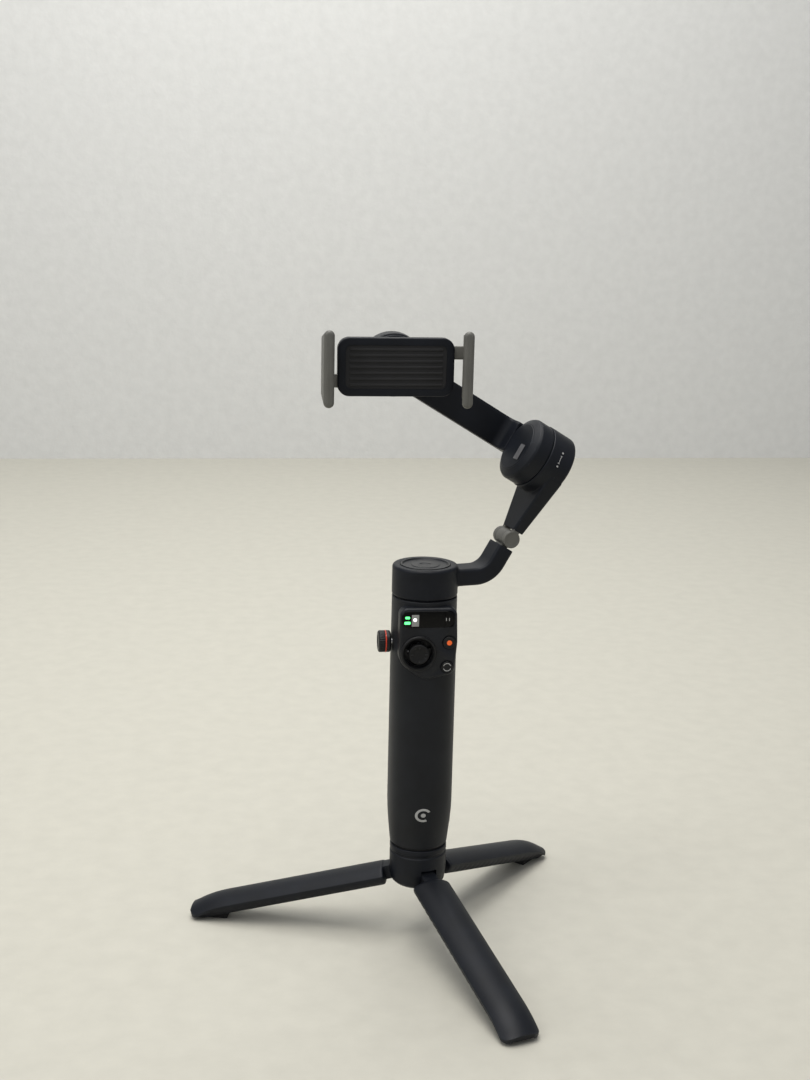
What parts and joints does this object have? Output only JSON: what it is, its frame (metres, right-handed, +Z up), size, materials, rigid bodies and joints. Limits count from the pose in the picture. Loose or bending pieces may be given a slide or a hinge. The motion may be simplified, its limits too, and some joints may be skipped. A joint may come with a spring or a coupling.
{
  "type": "phone gimbal stabilizer",
  "caption": "Folding three-axis phone gimbal with a magnetic spring clamp, an extending handle with joystick and trigger, on a folding mini tripod.",
  "frame": {"origin": "on the table plane, under the pan motor's vertical axis, in the middle of the three feet", "axes": "+Z up along the handle and pan axis, -Y towards the user: the control panel and the phone's screen face -Y, +X to the right"},
  "size_m": [0.2182, 0.2205, 0.332],
  "materials": {
    "body_black": "fine matte moulded plastic, near black with a blue tinge",
    "grip_black": "soft-touch coating, near black",
    "panel_black": "satin moulded plastic",
    "window_gloss": "polished black window",
    "key_black": "matte keys",
    "stick_rubber": "moulded rubber cap",
    "foot_rubber": "rubber pad",
    "grey_plastic": "warm grey moulded plastic",
    "accent_red": "orange-red ring",
    "steel": "turned steel",
    "tube_alloy": "drawn alloy tube",
    "brass": "turned brass insert",
    "copper_winding": "enamelled copper windings",
    "magnet": "nickel-plated magnet",
    "board_green": "printed circuit board",
    "cell_blue": "heat-shrunk cells",
    "white_plastic": "acetal",
    "cap_black": "satin moulded cap"
  },
  "bodies": {
    "tripod": {"hub_body": "body_black", "hub_washer": "foot_rubber", "hub_base_cap": "body_black", "tripod_screw": "steel", "leg_pins": "steel"},
    "leg_a": {"leg_front": "body_black", "foot_front": "foot_rubber"},
    "leg_b": {"leg_right": "body_black", "foot_right": "foot_rubber"},
    "leg_c": {"leg_left": "body_black", "foot_left": "foot_rubber"},
    "handle": {"grip_shell": "grip_black", "control_panel": "panel_black", "status_window": "window_gloss", "base_cap": "body_black", "thread_bush": "brass", "guide_tube": "tube_alloy", "battery_cells": "cell_blue", "main_board": "board_green", "tact_switches": "steel", "joystick_bezel": "key_black", "joystick_base": "key_black", "trigger_pin": "steel", "usb_port": "steel"},
    "mode_key": {"mode_button": "window_gloss"},
    "record_key": {"record_button": "key_black"},
    "switch_key": {"switch_button": "key_black"},
    "power_key": {"power_button": "key_black"},
    "stick_ring": {"joystick_ring": "steel"},
    "stick": {"joystick_cap": "stick_rubber"},
    "wheel_push": {"wheel_axle": "steel"},
    "wheel": {"side_wheel": "key_black", "wheel_ring": "accent_red"},
    "trigger": {"trigger": "key_black"},
    "rod_1": {"rod_stage_1": "tube_alloy"},
    "rod_2": {"rod_stage_2": "tube_alloy"},
    "pan_mount": {"pan_base": "body_black", "pan_stator": "copper_winding", "pan_bearing": "steel"},
    "pan_arm": {"pan_arm": "body_black", "pan_magnets": "magnet", "pan_cap": "cap_black", "pan_shaft": "steel", "fold_barrel": "grey_plastic"},
    "outer_arm": {"outer_arm": "body_black", "tilt_stator": "copper_winding", "fold_ears": "grey_plastic", "fold_pin": "steel"},
    "tilt_arm": {"tilt_rotor": "body_black", "bar_arm": "body_black", "bar_cover": "cap_black", "roll_stator": "copper_winding"},
    "dock": {"roll_plate": "body_black", "dock_magnets": "magnet"},
    "clamp": {"clamp_base": "body_black", "clamp_cover": "body_black"},
    "pinion": {"clamp_pinion": "white_plastic"},
    "jaw_l": {"jaw_left": "grey_plastic"},
    "jaw_r": {"jaw_right": "grey_plastic"}
  },
  "joints": [
    {"name": "leg_front_fold", "type": "hinge", "parent": "tripod", "child": "leg_a", "pos_m": [0.00307, -0.01056, 0.036], "axis": [0.9603, 0.279, 0], "range_deg": [0, 72.2]},
    {"name": "leg_right_fold", "type": "hinge", "parent": "tripod", "child": "leg_b", "pos_m": [0.00761, 0.00794, 0.036], "axis": [-0.7218, 0.6921, 0], "range_deg": [0, 72.2]},
    {"name": "leg_left_fold", "type": "hinge", "parent": "tripod", "child": "leg_c", "pos_m": [-0.01068, 0.00262, 0.036], "axis": [-0.2385, -0.9711, 0], "range_deg": [0, 72.2]},
    {"name": "handle_turn", "type": "hinge", "parent": "tripod", "child": "handle", "pos_m": [0, 0, 0.054], "axis": [0, 0, 1], "range_deg": [0, 360]},
    {"name": "mode_press", "type": "slide", "parent": "handle", "child": "mode_key", "axis": [0, 1, 0], "range_m": [0, 0.0004], "stiffness_N_per_m": 400},
    {"name": "record_press", "type": "slide", "parent": "handle", "child": "record_key", "axis": [0, 1, 0], "range_m": [0, 0.0005], "stiffness_N_per_m": 400},
    {"name": "switch_press", "type": "slide", "parent": "handle", "child": "switch_key", "axis": [0, 1, 0], "range_m": [0, 0.0005], "stiffness_N_per_m": 400},
    {"name": "power_press", "type": "slide", "parent": "handle", "child": "power_key", "axis": [-1, 0, 0], "range_m": [0, 0.0005], "stiffness_N_per_m": 400},
    {"name": "stick_updown", "type": "hinge", "parent": "handle", "child": "stick_ring", "pos_m": [-0.0052, -0.0142, 0.166], "axis": [1, 0, 0], "range_deg": [-15, 15], "stiffness_Nm_per_rad": 0.02},
    {"name": "stick_sideways", "type": "hinge", "parent": "stick_ring", "child": "stick", "pos_m": [-0.0052, -0.0142, 0.166], "axis": [0, 0, 1], "range_deg": [-15, 15], "stiffness_Nm_per_rad": 0.02},
    {"name": "wheel_press", "type": "slide", "parent": "handle", "child": "wheel_push", "axis": [1, 0, 0], "range_m": [0, 0.0004], "stiffness_N_per_m": 400},
    {"name": "wheel_turn", "type": "hinge", "parent": "wheel_push", "child": "wheel", "pos_m": [-0.02, -0.002, 0.168], "axis": [1, 0, 0], "continuous": true},
    {"name": "trigger_pull", "type": "hinge", "parent": "handle", "child": "trigger", "pos_m": [0, 0.014, 0.177], "axis": [-1, 0, 0], "range_deg": [0, 8], "stiffness_Nm_per_rad": 0.6},
    {"name": "rod_1_extend", "type": "slide", "parent": "handle", "child": "rod_1", "axis": [0, 0, 1], "range_m": [0, 0.0717]},
    {"name": "rod_2_extend", "type": "slide", "parent": "rod_1", "child": "rod_2", "axis": [0, 0, 1], "range_m": [0, 0.0717]},
    {"name": "rod_3_extend", "type": "slide", "parent": "rod_2", "child": "pan_mount", "axis": [0, 0, 1], "range_m": [0, 0.0717]},
    {"name": "pan", "type": "hinge", "parent": "pan_mount", "child": "pan_arm", "pos_m": [0, 0, 0.1934], "axis": [0, 0, 1], "range_deg": [-161.6, 172]},
    {"name": "arm_fold", "type": "hinge", "parent": "pan_arm", "child": "outer_arm", "pos_m": [0.0449, 0.00954, 0.2213], "axis": [-0.2079, 0.9781, 0], "range_deg": [-90, 0]},
    {"name": "tilt", "type": "hinge", "parent": "outer_arm", "child": "tilt_arm", "pos_m": [0.05869, 0.01247, 0.2645], "axis": [-0.8384, -0.1782, 0.515], "range_deg": [-101.6, 78.5]},
    {"name": "roll", "type": "hinge", "parent": "tilt_arm", "child": "dock", "pos_m": [-0.0174, 0.0084, 0.3125], "axis": [0, -1, 0], "range_deg": [-120.3, 211.9]},
    {"name": "clamp_pull_off", "type": "slide", "parent": "dock", "child": "clamp", "axis": [0, -1, 0], "range_m": [0, 0.03]},
    {"name": "jaw_right_slide", "type": "slide", "parent": "clamp", "child": "jaw_r", "axis": [1, 0, 0], "range_m": [-0.002, 0.0065], "stiffness_N_per_m": 400},
    {"name": "jaw_left_slide", "type": "slide", "parent": "clamp", "child": "jaw_l", "axis": [-1, 0, 0], "range_m": [-0.002, 0.0065]},
    {"name": "pinion_turn", "type": "hinge", "parent": "clamp", "child": "pinion", "pos_m": [-0.0174, 0.005, 0.3125], "axis": [0, 1, 0], "range_deg": [-29, 94]}
  ],
  "couplings": [
    {"joint": "jaw_left_slide", "follows": "jaw_right_slide", "ratio": 1},
    {"joint": "pinion_turn", "follows": "jaw_right_slide", "rad_per_m": 250}
  ]
}
